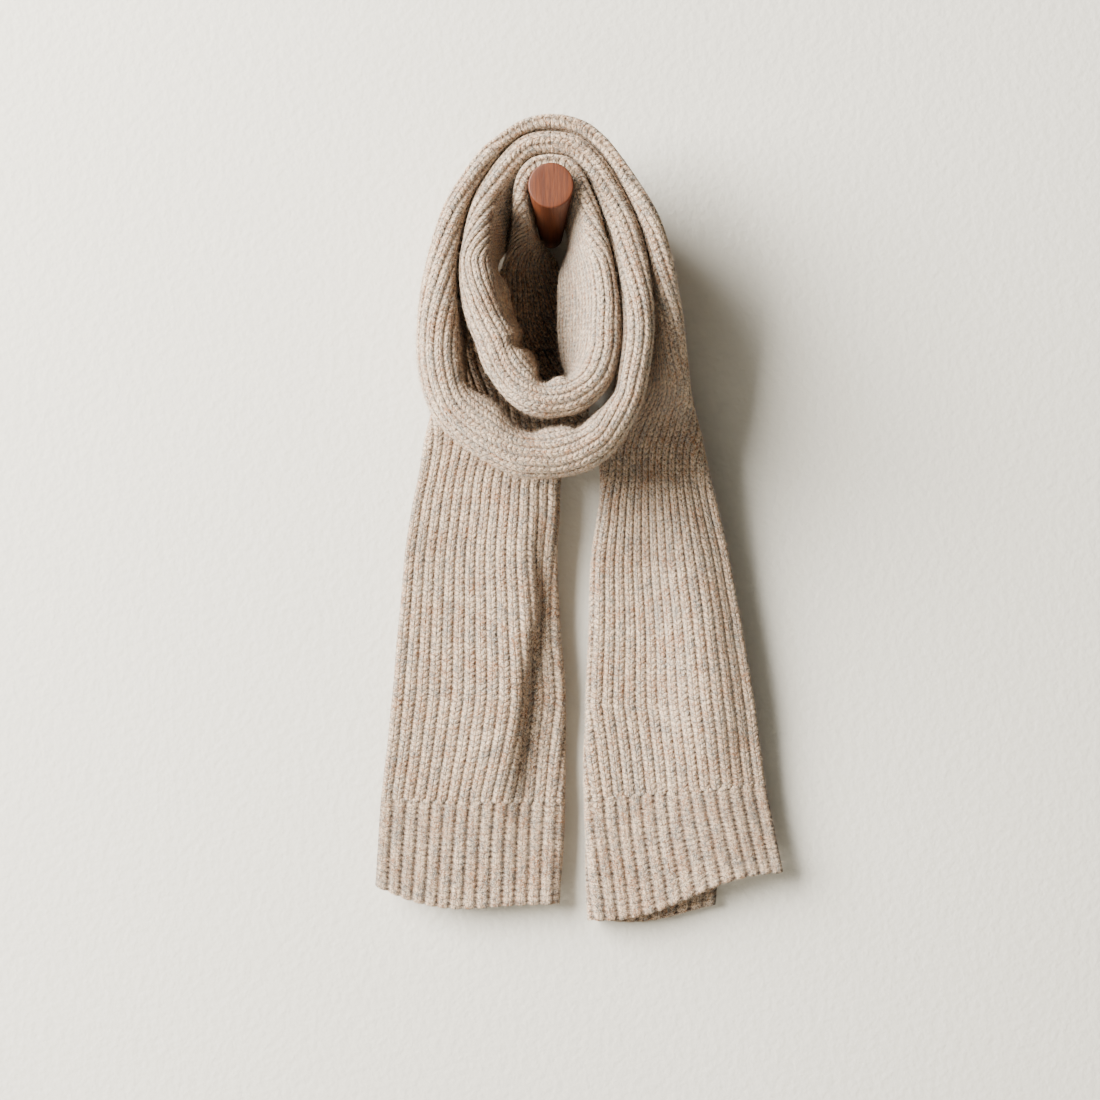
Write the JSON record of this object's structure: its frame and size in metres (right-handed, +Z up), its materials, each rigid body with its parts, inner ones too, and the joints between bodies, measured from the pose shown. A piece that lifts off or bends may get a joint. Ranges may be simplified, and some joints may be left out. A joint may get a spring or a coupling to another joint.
{
  "type": "knit scarf on wall peg",
  "caption": "Long rib knit scarf wound over a tapered round wooden wall peg in an inner and an outer loop, with both ends hanging free and a broad-ribbed hem band on each.",
  "frame": {"origin": "middle of the peg's flat back, on the wall", "axes": "+Z up, +Y into the wall, +X to the right as seen from the room; the scarf hangs on the -Y side"},
  "size_m": [0.2983, 0.124, 0.5795],
  "materials": {
    "rib_knit": "brushed oatmeal wool blend, rib knit, matt and fuzzy",
    "hem_knit": "the same yarn in broader, smoother ribs",
    "peg_wood": "oiled red-brown wood with fine upright grain on the end face"
  },
  "bodies": {
    "root": {"peg": "peg_wood", "left_tail": "rib_knit", "left_cuff": "hem_knit", "inner_loop": "rib_knit", "outer_loop": "rib_knit", "right_tail": "rib_knit", "right_cuff": "hem_knit"}
  },
  "joints": []
}
